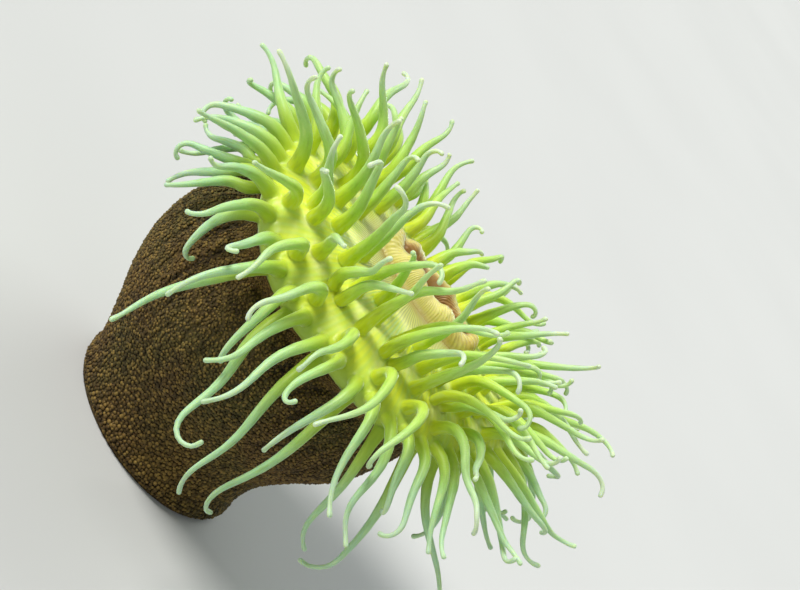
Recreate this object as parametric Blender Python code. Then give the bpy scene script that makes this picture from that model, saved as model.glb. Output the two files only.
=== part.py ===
"""A giant green sea anemone at life size: pedal disc, column, collar, oral disc, lips and crown.

The animal stands on its pedal disc. The origin is the middle of the sole, on the floor. +Z runs up
the column, +X points to the side towards which the crown leans, and -Y is its front.
Lengths in the tables are in millimetres and are turned into metres by MM.
"""

import math
import random
from typing import NamedTuple

import bmesh
import bpy
import numpy as np
from mathutils import Vector
from mathutils.kdtree import KDTree

MM = 0.001
GAP = 0.3 * MM  # air left between neighbouring solids
SEED = 41

# ---------------------------------------------------------------- body outline


class Station(NamedTuple):
    """One ring of the body's outline, from the sole up and over the rim to the inner disc."""

    name: str
    radius: float
    height: float
    shift: float  # of the ring's middle, towards +X
    share: float  # of the crown's waves that the ring takes


BODY = (
    Station("sole", 50.0, 0.0, 0.0, 0.0),
    Station("foot", 53.0, 5.0, 0.0, 0.0),
    Station("ankle", 52.5, 14.0, -2.0, 0.0),
    Station("lower column", 58.0, 33.0, -6.0, 0.0),
    Station("middle column", 68.0, 53.0, -7.0, 0.0),
    Station("upper column", 76.5, 72.0, -5.0, 0.0),
    Station("shoulder", 79.0, 92.0, -3.5, 0.0),
    Station("collar", 77.0, 110.0, 0.0, 0.0),
    Station("groove", 75.0, 117.0, 4.5, 0.4),
    Station("under the rim", 79.5, 125.5, 9.0, 0.8),
    Station("rim's lower edge", 85.5, 131.5, 11.5, 1.0),
    Station("rim", 87.0, 138.0, 12.0, 1.0),
    Station("rim's upper edge", 81.5, 143.5, 12.0, 1.0),
    Station("outer disc", 70.0, 147.5, 12.5, 0.75),
    Station("middle disc", 56.0, 150.5, 14.0, 0.45),
    Station("inner disc", 40.0, 153.0, 16.5, 0.1),
    Station("around the lips", 24.0, 154.0, 18.0, 0.0),
)
OUTLINE = np.array([station[1:] for station in BODY])

DEPTH = 0.93  # the body is a little narrower from front to back than across
SADDLE = 6.0  # how far the crown's left and right ends rise, and its front and back sink
LOBE_LIFT = 10.0  # extra rise of the lobe at the back left
LOBE_ANGLE = math.radians(150)
LOBE_WIDTH = math.radians(34)
SCALLOPS = 5  # shallow waves round the rim
SCALLOP_DEPTH = 0.022  # as a share of the radius
SCALLOP_LIFT = 1.6

# ---------------------------------------------------------------- tentacles


class Row(NamedTuple):
    """One ring of tentacles. Aims and lengths are for the right, back, left and front."""

    name: str
    station: float  # where the row stands, counted along BODY
    seats: tuple  # places across an even and an odd sector
    aim: tuple  # degrees above level
    length: tuple
    root: float  # radius at the root


OUTER_ROWS = (
    Row("under the rim", 9.75, ((0.5,), (0.5,)), (-32, -66, -30, -78), (54, 54, 44, 86), 3.3),
    Row("rim", 10.95, ((0.25, 0.75), (0.25, 0.75)), (-4, -38, -8, -54), (52, 46, 46, 62), 3.3),
    Row("upper edge", 12.1, ((0.5,), (0.5,)), (20, 2, 16, -34), (52, 44, 50, 60), 3.4),
    Row("outer disc", 13.05, ((0.31, 0.69), (0.5,)), (38, 30, 34, 58), (50, 42, 50, 60), 3.4),
)
INNER_ROWS = (
    Row("middle disc", 13.95, ((0.25, 0.75), (0.25, 0.75)), (52, 50, 56, 72), (46, 40, 52, 60), 3.5),
    Row("inner disc", 14.65, ((0.44,), (0.56,)), (66, 64, 66, 74), (42, 36, 44, 50), 3.3),
)
FRINGE_ROWS = (
    Row("fringe", 9.55, ((0.22, 0.76), (0.22, 0.76)), (-30, -60, -26, -62), (48, 46, 46, 62), 3.1),
)
FRINGE_SECTORS = range(11, 14)  # the outer sectors that carry the fringe as well
LONG_SIDE = math.radians(16)  # the front's longest tentacles hang this far round to the right
OUTER_SECTORS = 24
INNER_SECTORS = 12
CROWDING = 0.18  # sectors are this much narrower on the right and wider on the left

TIP = 0.85  # radius near the tip
KNOB = 0.3  # extra radius of the tip's knob
TAPER = 1.1  # how soon a tentacle thins
FLARE = 1.5  # extra radius where a tentacle leaves the body
FLARE_REACH = 5.0  # height over which the flare dies away
HANG = (0.30, 0.0, -0.20)  # the slow droop that every tentacle shares
SWING = 26.0  # degrees that a tentacle's aim strays sideways
STRAY = 14.0  # degrees that it strays up or down
SWAY = 34.0  # degrees that it bends sideways on its way
ARCH = 42.0  # degrees that it arches up or down on its way
WAVE = 36.0  # degrees of its slower S-shaped bend
HOOK = 150.0  # degrees that the last quarter may curl

LINE_POINTS = 16  # along each tentacle's middle line
ROUNDS = 120  # of spreading the tentacles apart
ROOM = 1.9  # least air between two tentacles
SKIN_ROOM = 0.9  # least air between a tentacle and the body
FIRST_FREE = 2  # the first point of a middle line that may be pushed aside

# ---------------------------------------------------------------- solids

COLUMN_SIDES = 28
SOLE_TOP = 0.8  # stations at which the column is parted
LOWER_TOP = 3.75
UPPER_TOP = 6.0
COLLAR_TOP = 7.0
CROWN_BORDER = (13.5, 55.0)  # between the outer and inner tentacles: its station, its foot's radius
DISC_BORDER = (15.0, 34.0)  # between the inner tentacles and the oral disc
RIM_STATIONS = (12.6, 11.6, 10.3, 9.2, 8.0)  # the corners of an outer sector's section
INNER_STATION = 14.3  # the corner of an inner sector's section
PARTED_AT = 60.0  # radius at which the air between two sectors is exactly the gap
TUBE_SIDES = 4
TUBE_WIDEN = 1.2  # a four-sided tube's corners stand out, its flats lie in
SHORT_TUBE = (0.0, 0.38, 0.72, 1.0)  # places of the rings along a tentacle under SHORT
TUBE = (0.0, 0.3, 0.58, 0.82, 1.0)  # along one between SHORT and LONG
LONG_TUBE = (0.0, 0.22, 0.43, 0.63, 0.83, 1.0)  # along a longer one
SHORT = 51.0
LONG = 70.0
ROOT_DEPTH = 2.5  # how far a tentacle's solid reaches into the body

LIPS_CENTRE = (19.0, 0.0)
LIPS_HALF_LENGTH = 29.5
LIPS_HALF_WIDTH = 9.5
LIPS_SPREAD = 6.0  # half the thickness of the lips across
LIPS_HEIGHT = 9.5
LIPS_BASE = 154.2
LIPS_STEPS = 24

# ---------------------------------------------------------------- materials


class Finish(NamedTuple):
    """A Principled material's colour, roughness and metallic value."""

    name: str
    colour: tuple
    roughness: float
    metallic: float


SOLE_FINISH = Finish("sole", (0.26, 0.15, 0.07), 0.6, 0.0)
COLUMN_FINISH = Finish("column", (0.20, 0.11, 0.05), 0.55, 0.0)
DISC_FINISH = Finish("oral disc", (0.66, 0.68, 0.16), 0.4, 0.0)
LIPS_FINISH = Finish("lips", (0.78, 0.55, 0.27), 0.4, 0.0)
TENTACLE_FINISH = Finish("tentacles", (0.55, 0.72, 0.20), 0.35, 0.0)


def empty_scene():
    """Remove every object of the scene."""
    for thing in list(bpy.data.objects):
        bpy.data.objects.remove(thing, do_unlink=True)


def material(finish):
    """The Principled material of a finish, made once."""
    found = bpy.data.materials.get(finish.name)
    if found:
        return found
    made = bpy.data.materials.new(finish.name)
    made.use_nodes = True
    shader = made.node_tree.nodes["Principled BSDF"]
    shader.inputs["Base Color"].default_value = (*finish.colour, 1.0)
    shader.inputs["Roughness"].default_value = finish.roughness
    shader.inputs["Metallic"].default_value = finish.metallic
    return made


# ---------------------------------------------------------------- the body's surface


def outline_at(station):
    """Radius, height, shift and share at a place along BODY, on a curve through the stations."""
    last = len(OUTLINE) - 1
    index = min(int(station), last - 1)
    along = station - index
    before = OUTLINE[max(index - 1, 0)]
    start, end = OUTLINE[index], OUTLINE[index + 1]
    after = OUTLINE[min(index + 2, last)]
    leave, arrive = (end - before) / 2, (after - start) / 2
    square, cube = along**2, along**3
    return (
        (2 * cube - 3 * square + 1) * start
        + (cube - 2 * square + along) * leave
        + (3 * square - 2 * cube) * end
        + (cube - square) * arrive
    )


def crown_lift(angle):
    """How far the crown's waves raise the rim at this angle."""
    off_lobe = math.remainder(angle - LOBE_ANGLE, math.tau)
    return (
        SADDLE * math.cos(2 * angle)
        + LOBE_LIFT * math.exp(-((off_lobe / LOBE_WIDTH) ** 2))
        + SCALLOP_LIFT * math.sin(SCALLOPS * angle + 1.9)
    )


def body_point(angle, station):
    """The point of the body's surface at this angle and station, in metres."""
    radius, height, shift, share = outline_at(station)
    radius *= 1 + share * SCALLOP_DEPTH * math.sin(SCALLOPS * angle + 0.6)
    return Vector(
        (
            shift + radius * math.cos(angle),
            DEPTH * radius * math.sin(angle),
            height + share * crown_lift(angle),
        )
    ) * MM


def body_normal(angle, station):
    """The body's outward direction there."""
    step = 0.02
    around = body_point(angle + step, station) - body_point(angle - step, station)
    upward = body_point(angle, station + step) - body_point(angle, station - step)
    return around.cross(upward).normalized()


def sector_angle(place):
    """The angle at a place round the crown, from 0 to 1, with the crowded side on the right."""
    even = place * math.tau
    return even - CROWDING * math.sin(even)


# ---------------------------------------------------------------- tentacle lines


class Tentacle(NamedTuple):
    """A tentacle's sector and row, its middle line, its radii along it and its first direction."""

    inner: bool
    sector: int
    line: np.ndarray
    radii: np.ndarray
    root_normal: np.ndarray


def by_quarter(values, angle):
    """Blend a row's four values, for the right, back, left and front, at this angle."""
    right, back, left, front = values
    skewed = angle - LONG_SIDE * max(0.0, -math.sin(angle))
    across, deep = math.cos(skewed), math.sin(skewed)
    side = right if across > 0 else left
    end = back if deep > 0 else front
    return side * across**2 + end * deep**2


def thickness(along, length, root):
    """A tentacle's radius at a share of its length, in millimetres."""
    body = TIP + (root - TIP) * (1 - along) ** TAPER
    knob = KNOB * math.exp(-(((along - 0.97) / 0.03) ** 2))
    flare = FLARE * math.exp(-along * length / FLARE_REACH)
    return body + knob + flare


def turned(direction, axis, radians):
    """The direction, turned about an axis."""
    return direction * math.cos(radians) + np.cross(axis, direction) * math.sin(radians)


def tentacle(row, inner, sector, angle, station, dice):
    """Grow one tentacle's middle line from the body, along its normal and then to its aim."""
    root = np.array(body_point(angle, station))
    normal = np.array(body_normal(angle, station))
    length = by_quarter(row.length, angle) * dice.uniform(0.78, 1.2)
    swing = math.radians(SWING * dice.uniform(-1, 1))
    rise = math.radians(by_quarter(row.aim, angle) + STRAY * dice.uniform(-1, 1))
    outward = np.array((math.cos(angle + swing), math.sin(angle + swing), 0.0))
    aim = outward * math.cos(rise) + np.array((0.0, 0.0, math.sin(rise)))
    sway = math.radians(SWAY * dice.uniform(-1, 1))
    arch = math.radians(ARCH * dice.uniform(-1, 1))
    wave = math.radians(WAVE * dice.uniform(0.2, 1))
    phase = dice.uniform(0, math.tau)
    waves = dice.uniform(0.8, 1.5)
    hook = math.radians(HOOK * dice.uniform(-1, 1))
    hook_tilt = dice.uniform(-1, 1)
    side = np.cross(aim, (0.0, 0.0, 1.0)) + 1e-6
    side /= np.linalg.norm(side)
    over = np.cross(side, aim)
    hook_axis = side * math.cos(hook_tilt) + over * math.sin(hook_tilt)
    step = length * MM / (LINE_POINTS - 1)
    line = [root]
    for index in range(LINE_POINTS - 1):
        along = (index + 0.5) / (LINE_POINTS - 1)
        ease = min(1.0, along / 0.45)
        ease = ease * ease * (3 - 2 * ease)
        direction = normal * (1 - ease) + aim * ease + along * np.array(HANG)
        direction /= np.linalg.norm(direction)
        bend = sway * along + wave * along * math.sin(phase + waves * math.tau * along)
        direction = turned(direction, over, bend)
        direction = turned(direction, side, arch * along)
        curl = hook * max(0.0, (along - 0.72) / 0.28) ** 1.3
        direction = turned(direction, hook_axis, curl)
        line.append(line[-1] + step * direction / np.linalg.norm(direction))
    radii = np.array(
        [thickness(k / (LINE_POINTS - 1), length, row.root) for k in range(LINE_POINTS)]
    )
    return Tentacle(inner, sector, np.array(line), radii * MM, normal)


def seated(rows, sectors, inner, dice, only=None):
    """Grow every tentacle of these rows, sector by sector, or in only some of the sectors."""
    grown = []
    for sector in only or range(sectors):
        for row in rows:
            for seat in row.seats[sector % 2]:
                place = (sector + seat + 0.03 * dice.uniform(-1, 1)) / sectors
                station = row.station + 0.08 * dice.uniform(-1, 1)
                angle = sector_angle(place)
                crowd = 1 - CROWDING * math.cos(angle)
                thin = row._replace(root=row.root * (0.2 + 0.8 * crowd))
                grown.append(tentacle(thin, inner, sector, angle, station, dice))
    return grown


def surface_samples():
    """Points all over the body above its sole, with their normals, for keeping tentacles off it."""
    points, normals = [], []
    for turn in range(120):
        angle = math.tau * turn / 120
        for quarter in range(12, 4 * (len(BODY) - 1) + 1):
            station = quarter / 4
            points.append(body_point(angle, station))
            normals.append(np.array(body_normal(angle, min(station, len(BODY) - 1.05))))
    tree = KDTree(len(points))
    for index, point in enumerate(points):
        tree.insert(point, index)
    tree.balance()
    return tree, np.array([tuple(p) for p in points]), np.array(normals)


def near_pairs(points, owner, reach):
    """The pairs of points of different tentacles that lie within reach of each other."""
    first, second = [], []
    for index in range(len(points) - 1):
        apart = np.linalg.norm(points[index + 1 :] - points[index], axis=1)
        close = np.flatnonzero(apart < reach) + index + 1
        close = close[owner[close] != owner[index]]
        first.append(np.full(len(close), index))
        second.append(close)
    return np.concatenate(first), np.concatenate(second)


def spread_apart(grown):
    """Push the tentacles apart, and off the body, until there is air between them all."""
    count = len(grown)
    lines = np.stack([one.line for one in grown])
    radii = np.stack([one.radii for one in grown])
    steps = np.linalg.norm(lines[:, 1] - lines[:, 0], axis=1)
    owner = np.repeat(np.arange(count), LINE_POINTS)
    free = np.tile(np.arange(LINE_POINTS) >= FIRST_FREE, count)
    wide = radii.ravel()
    tree, skin, normals = surface_samples()
    for turn in range(ROUNDS):
        points = lines.reshape(-1, 3)
        if turn % 10 == 0:
            first, second = near_pairs(points, owner, 20 * MM)
            least = wide[first] + wide[second] + ROOM * MM
        push = np.zeros_like(points)
        between = points[first] - points[second]
        apart = np.linalg.norm(between, axis=1)
        short = np.maximum(least - apart, 0) / np.maximum(apart, 1e-9) * 0.5
        np.add.at(push, first, between * short[:, None])
        np.add.at(push, second, -between * short[:, None])
        for index in np.flatnonzero(free):
            nearest = tree.find(points[index])[1]
            height = (points[index] - skin[nearest]) @ normals[nearest]
            lack = wide[index] + SKIN_ROOM * MM - height
            if lack > 0:
                push[index] += normals[nearest] * lack
        push[~free] = 0
        push = push.reshape(count, LINE_POINTS, 3)
        for _ in range(3):
            push[:, 1:-1] = (push[:, :-2] + 2 * push[:, 1:-1] + push[:, 2:]) / 4
        lines = lines + 0.8 * push
        for index in range(FIRST_FREE, LINE_POINTS):
            stretch = lines[:, index] - lines[:, index - 1]
            stretch *= (steps / np.linalg.norm(stretch, axis=1))[:, None]
            lines[:, index] = lines[:, index - 1] + stretch
    return [one._replace(line=line) for one, line in zip(grown, lines)]


# ---------------------------------------------------------------- solids


def finished(name, mesh, finish):
    """Turn a bmesh into a named object with its material, faces outwards and smooth."""
    bmesh.ops.recalc_face_normals(mesh, faces=mesh.faces)
    data = bpy.data.meshes.new(name)
    mesh.to_mesh(data)
    mesh.free()
    data.materials.append(material(finish))
    data.shade_smooth()
    data.set_sharp_from_angle(angle=math.radians(50))
    made = bpy.data.objects.new(name, data)
    bpy.context.scene.collection.objects.link(made)
    return made


def ring(mesh, places):
    """New vertices at these places."""
    return [mesh.verts.new(place) for place in places]


def bridge(mesh, one, other, walls=()):
    """Join two rings of as many vertices with quads. A wall's is split, always the same way."""
    for index in range(len(one)):
        after = (index + 1) % len(one)
        corners = (one[index], one[after], other[after], other[index])
        if index in walls:
            mesh.faces.new(corners[:3])
            mesh.faces.new((corners[0], *corners[2:]))
        else:
            mesh.faces.new(corners)


def column_part(name, low, high, between, finish):
    """A length of the column, from one station to another, with a flat sole and top."""
    stations = [low, *between, high]
    lift = GAP if low > 0 else 0.0
    mesh = bmesh.new()
    rings = []
    for station in stations:
        places = []
        for side in range(COLUMN_SIDES):
            place = body_point(math.tau * side / COLUMN_SIDES, station)
            place.z += lift if station == low else 0.0
            places.append(place)
        rings.append(ring(mesh, places))
    for lower, upper in zip(rings, rings[1:]):
        bridge(mesh, lower, upper)
    mesh.faces.new(rings[0])
    mesh.faces.new(rings[-1])
    return finished(name, mesh, finish)


def parted_angle(angle, way):
    """An angle moved so far that two neighbouring sectors don't touch."""
    return angle + way * GAP / 2 / (PARTED_AT * MM)


def wall(angle, border, way):
    """The foot and the top of a border's wall at this angle, moved in or out by half the gap."""
    station, radius = border
    apart = way * GAP / 2 * Vector((math.cos(angle), math.sin(angle), 0.0))
    _, height, shift, _ = outline_at(COLLAR_TOP)
    foot = Vector((shift + radius * math.cos(angle), DEPTH * radius * math.sin(angle), height))
    return foot * MM + Vector((0.0, 0.0, GAP)) + apart, body_point(angle, station) + apart


def outer_profile(angle):
    """An outer sector's section: its inner foot and top, then over the rim and back under it."""
    foot, top = wall(angle, CROWN_BORDER, 1)
    edge = body_point(angle, COLLAR_TOP)
    edge.z = foot.z
    return [foot, top, *(body_point(angle, station) for station in RIM_STATIONS), edge]


def inner_profile(angle):
    """An inner sector's section: its inner foot first, then out, up and back over the disc."""
    foot, top = wall(angle, DISC_BORDER, 1)
    return [foot, *wall(angle, CROWN_BORDER, -1), body_point(angle, INNER_STATION), top]


def wedge(profile, walls, angles):
    """A closed wedge of the crown, swept from one angle to the next."""
    mesh = bmesh.new()
    slices = [ring(mesh, profile(angle)) for angle in angles]
    for one, other in zip(slices, slices[1:]):
        bridge(mesh, one, other, walls)
    for cap in (slices[0], slices[-1]):
        for index in range(1, len(cap) - 1):
            mesh.faces.new((cap[0], cap[index], cap[index + 1]))
    return mesh


def ring_places(line, radii, stations):
    """Rings of points round a middle line, at these places along it, without a twist."""
    shares = np.linspace(0, 1, len(line))
    centres = np.stack([np.interp(stations, shares, line[:, axis]) for axis in range(3)], 1)
    widths = np.minimum(np.interp(stations, shares, radii), radii[FIRST_FREE])
    ahead = np.gradient(centres, axis=0)
    ahead[0] = line[1] - line[0]
    ahead /= np.linalg.norm(ahead, axis=1)[:, None]
    side = np.cross(ahead[0], (0.31, 0.17, 0.94))
    rings = []
    for centre, width, forward in zip(centres, widths, ahead):
        side = side - forward * (side @ forward)
        side /= np.linalg.norm(side)
        other = np.cross(forward, side)
        turns = math.tau * np.arange(TUBE_SIDES) / TUBE_SIDES
        spokes = np.cos(turns)[:, None] * side + np.sin(turns)[:, None] * other
        rings.append(centre + TUBE_WIDEN * width * spokes)
    return rings


def add_tube(mesh, one):
    """A closed four-sided tube along a tentacle, from inside the body to its blunt tip."""
    length = np.linalg.norm(np.diff(one.line, axis=0), axis=1).sum()
    if length < SHORT * MM:
        rings = ring_places(one.line, one.radii, SHORT_TUBE)
    elif length < LONG * MM:
        rings = ring_places(one.line, one.radii, TUBE)
    else:
        rings = ring_places(one.line, one.radii, LONG_TUBE)
    rings[0] = rings[0] - one.root_normal * ROOT_DEPTH * MM
    loops = [ring(mesh, places) for places in rings]
    for lower, upper in zip(loops, loops[1:]):
        bridge(mesh, lower, upper)
    mesh.faces.new(loops[0])
    mesh.faces.new(loops[-1])


def with_tentacles(name, base, grown):
    """Join these tentacles to their piece of the crown."""
    tubes = bmesh.new()
    for one in grown:
        add_tube(tubes, one)
    joined = finished(name, base, TENTACLE_FINISH)
    cutter = finished(name + "_tubes", tubes, TENTACLE_FINISH)
    cutter.hide_render = True
    cutter.display_type = "WIRE"
    union = joined.modifiers.new("tentacles", "BOOLEAN")
    union.operation = "UNION"
    union.solver = "EXACT"
    union.use_self = True
    union.object = cutter
    return joined


def crown(grown):
    """The inner and outer sectors of the crown, each with its own tentacles."""
    for inner, sectors, profile, walls, label in (
        (False, OUTER_SECTORS, outer_profile, (0,), "outer_tentacles"),
        (True, INNER_SECTORS, inner_profile, (1, 4), "inner_tentacles"),
    ):
        for sector in range(sectors):
            first = sector_angle(sector / sectors)
            last = sector_angle((sector + 1) / sectors)
            middle = [sector_angle((sector + 0.5) / sectors)] if inner else []
            angles = [parted_angle(first, 1), *middle, parted_angle(last, -1)]
            mine = [one for one in grown if (one.inner, one.sector) == (inner, sector)]
            with_tentacles(f"{label}_{sector + 1:02d}", wedge(profile, walls, angles), mine)


def oral_disc():
    """The bare middle of the disc, which carries the lips."""
    mesh = bmesh.new()
    turns = [sector_angle(index / OUTER_SECTORS) for index in range(OUTER_SECTORS)]
    feet, tops = zip(*(wall(angle, DISC_BORDER, -1) for angle in turns))
    foot, top = ring(mesh, feet), ring(mesh, tops)
    last = ring(mesh, [body_point(angle, 15.6) for angle in turns])
    bridge(mesh, top, foot, range(len(top)))
    bridge(mesh, top, last)
    mesh.faces.new(foot)
    middle = mesh.verts.new(Vector((BODY[-1].shift, 0.0, BODY[-1].height)) * MM)
    for index in range(len(last)):
        mesh.faces.new((last[index], last[(index + 1) % len(last)], middle))
    return finished("oral_disc", mesh, DISC_FINISH)


def lips():
    """The long, raised ring of the lips, with the mouth open between them."""
    section = ((1.0, 0.0), (0.85, 0.62), (0.0, 1.0), (-0.75, 0.7), (-0.9, 0.0))
    mesh = bmesh.new()
    rings = []
    for step in range(LIPS_STEPS):
        angle = math.tau * step / LIPS_STEPS
        across, deep = math.cos(angle), math.sin(angle)
        outward = Vector((across * LIPS_HALF_WIDTH, deep * LIPS_HALF_LENGTH, 0)).normalized()
        centre = Vector((LIPS_CENTRE[0] + LIPS_HALF_LENGTH * across, LIPS_HALF_WIDTH * deep, 0))
        places = []
        for spread, rise in section:
            place = centre + outward * LIPS_SPREAD * spread
            place.z = LIPS_BASE + rise * LIPS_HEIGHT
            places.append(place * MM + Vector((0, 0, GAP)))
        rings.append(ring(mesh, places))
    for one, other in zip(rings, rings[1:] + rings[:1]):
        bridge(mesh, one, other)
    return finished("lips", mesh, LIPS_FINISH)


def main():
    """Build the whole animal."""
    empty_scene()
    dice = random.Random(SEED)
    grown = seated(OUTER_ROWS, OUTER_SECTORS, False, dice)
    grown += seated(INNER_ROWS, INNER_SECTORS, True, dice)
    grown += seated(FRINGE_ROWS, OUTER_SECTORS, False, dice, FRINGE_SECTORS)
    grown = spread_apart(grown)
    column_part("pedal_disc", 0.0, SOLE_TOP, (), SOLE_FINISH)
    column_part("column_lower", SOLE_TOP, LOWER_TOP, (1.6, 2.5), COLUMN_FINISH)
    column_part("column_upper", LOWER_TOP, UPPER_TOP, (4.6,), COLUMN_FINISH)
    column_part("collar", UPPER_TOP, COLLAR_TOP, (6.5,), COLUMN_FINISH)
    crown(grown)
    oral_disc()
    lips()


main()
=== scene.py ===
"""Looks of a giant green sea anemone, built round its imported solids.

The animal stands on its pedal disc at the origin. +Z runs up its column, +X points to the side
towards which the crown leans, and -Y is its front. One closed skin covers the whole animal, and
small warts stand on its column. Sizes named in millimetres are turned into metres by MM.
"""

import logging
import math
import random
from dataclasses import dataclass
from enum import Enum
from typing import Any, Callable, NamedTuple

import bmesh
import bpy
import numpy as np
from mathutils import Matrix, Vector
from mathutils.kdtree import KDTree

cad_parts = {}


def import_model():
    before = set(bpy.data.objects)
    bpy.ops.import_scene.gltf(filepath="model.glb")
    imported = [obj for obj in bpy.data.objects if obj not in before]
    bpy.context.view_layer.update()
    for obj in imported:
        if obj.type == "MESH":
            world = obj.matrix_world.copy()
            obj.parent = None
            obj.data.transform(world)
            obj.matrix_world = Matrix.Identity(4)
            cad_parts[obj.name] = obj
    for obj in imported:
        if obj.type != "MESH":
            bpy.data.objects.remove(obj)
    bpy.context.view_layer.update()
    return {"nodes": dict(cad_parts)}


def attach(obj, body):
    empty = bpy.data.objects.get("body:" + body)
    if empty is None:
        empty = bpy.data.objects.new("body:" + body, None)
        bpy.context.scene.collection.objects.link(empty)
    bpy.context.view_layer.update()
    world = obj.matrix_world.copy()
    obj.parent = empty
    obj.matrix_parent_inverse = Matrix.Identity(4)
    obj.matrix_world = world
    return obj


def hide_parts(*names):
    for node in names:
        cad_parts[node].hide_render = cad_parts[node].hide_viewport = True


MM = 0.001
UNWRAP = "OFBake"
UNWRAP_PLACE = 0.3
Colour = tuple[float, float, float]
LOG = logging.getLogger("anemone")


class Slot(Enum):
    """Two material slot names, column and tentacles, which nothing here uses."""

    COLUMN = "column"
    TENTACLES = "tentacles"


# ---------------------------------------------------------------- measuring


def spans(
    points: Callable, first: np.ndarray, second: np.ndarray, step: float
) -> tuple[np.ndarray, np.ndarray]:
    """How a surface runs across a place, from a step before it to a step after it.

    Args:
        points: the surface, as a function of two places.
        first: the places round it.
        second: the places along it.
        step: how far the steps go.

    Returns:
        The runs round the surface and along it.
    """
    around = points(first + step, second) - points(first - step, second)
    along = points(first, second + step) - points(first, second - step)
    return around, along


def reached(line: np.ndarray) -> np.ndarray:
    """How far along a line each of its points lies, from 0 at the first."""
    return np.concatenate([[0], np.cumsum(np.linalg.norm(np.diff(line, axis=0), axis=1))])


# ---------------------------------------------------------------- the body's surface


class Station(NamedTuple):
    """One ring of the body's outline, from the sole up and over the rim to the inner disc."""

    name: str
    radius: float
    height: float
    shift: float
    share: float


STATIONS = (
    Station("sole", 50.0, 0.0, 0.0, 0.0),
    Station("foot", 53.0, 5.0, 0.0, 0.0),
    Station("ankle", 52.5, 14.0, -2.0, 0.0),
    Station("lower column", 58.0, 33.0, -6.0, 0.0),
    Station("middle column", 68.0, 53.0, -7.0, 0.0),
    Station("upper column", 76.5, 72.0, -5.0, 0.0),
    Station("shoulder", 79.0, 92.0, -3.5, 0.0),
    Station("collar", 77.0, 110.0, 0.0, 0.0),
    Station("groove", 75.0, 117.0, 4.5, 0.4),
    Station("under the rim", 79.5, 125.5, 9.0, 0.8),
    Station("rim's lower edge", 85.5, 131.5, 11.5, 1.0),
    Station("rim", 87.0, 138.0, 12.0, 1.0),
    Station("rim's upper edge", 81.5, 143.5, 12.0, 1.0),
    Station("outer disc", 70.0, 147.5, 12.5, 0.75),
    Station("middle disc", 56.0, 150.5, 14.0, 0.45),
    Station("inner disc", 40.0, 153.0, 16.5, 0.1),
    Station("around the lips", 24.0, 154.0, 18.0, 0.0),
)


@dataclass(frozen=True)
class BodyForm:
    """The surface of the column, the rim and the disc, over an angle and a station."""

    stations: tuple[Station, ...] = STATIONS
    depth: float = 0.93
    saddle: float = 6.0
    lobe_lift: float = 10.0
    lobe_angle: float = math.radians(150)
    lobe_width: float = math.radians(34)
    scallops: int = 5
    scallop_depth: float = 0.022
    scallop_start: float = 0.6
    scallop_lift: float = 1.6
    lift_start: float = 1.9
    crowding: float = 0.18
    probe: float = 0.02

    def outline(self, station: np.ndarray) -> np.ndarray:
        """Work out the outline on a smooth curve through the stations.

        Args:
            station: places along the outline.

        Returns:
            Radius, height, shift and share at each place, in millimetres.
        """
        table = np.array([one[1:] for one in self.stations])
        last = len(table) - 1
        index = np.clip(station.astype(int), 0, last - 1)
        along = (station - index)[..., None]
        before = table[np.maximum(index - 1, 0)]
        start, end = table[index], table[index + 1]
        after = table[np.minimum(index + 2, last)]
        leave, arrive = (end - before) / 2, (after - start) / 2
        square, cube = along**2, along**3
        return (
            (2 * cube - 3 * square + 1) * start
            + (cube - 2 * square + along) * leave
            + (3 * square - 2 * cube) * end
            + (cube - square) * arrive
        )

    def lift(self, angle: np.ndarray) -> np.ndarray:
        """How far the crown's waves raise the rim at each angle, in millimetres.

        Args:
            angle: directions round the column, in radians.

        Returns:
            The heights above an even rim.
        """
        off_lobe = np.remainder(angle - self.lobe_angle + math.pi, math.tau) - math.pi
        return (
            self.saddle * np.cos(2 * angle)
            + self.lobe_lift * np.exp(-((off_lobe / self.lobe_width) ** 2))
            + self.scallop_lift * np.sin(self.scallops * angle + self.lift_start)
        )

    def points(self, angle: np.ndarray, station: np.ndarray) -> np.ndarray:
        """Find points of the surface.

        Args:
            angle: directions round the column, in radians.
            station: places along the outline, one for each angle.

        Returns:
            The points, in metres.
        """
        radius, height, shift, share = np.moveaxis(self.outline(station), -1, 0)
        wave = share * self.scallop_depth * np.sin(self.scallops * angle + self.scallop_start)
        radius = radius * (1 + wave)
        across = shift + radius * np.cos(angle)
        deep = self.depth * radius * np.sin(angle)
        return np.stack([across, deep, height + share * self.lift(angle)], -1) * MM

    def normals(self, angle: np.ndarray, station: np.ndarray) -> np.ndarray:
        """The surface's outward directions at these places."""
        around, upward = spans(self.points, angle, station, self.probe)
        normal = np.cross(around, upward)
        return normal / np.linalg.norm(normal, axis=-1, keepdims=True)

    def sector_angle(self, place: np.ndarray) -> np.ndarray:
        """The angle at a place round the crown, from 0 to 1, crowded on the right."""
        even = place * math.tau
        return even - self.crowding * np.sin(even)


# ---------------------------------------------------------------- tentacle lines


class Row(NamedTuple):
    """One ring of tentacles. Aims and lengths are for the right, back, left and front."""

    name: str
    station: float
    seats: tuple
    aim: tuple
    length: tuple
    root: float


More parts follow.
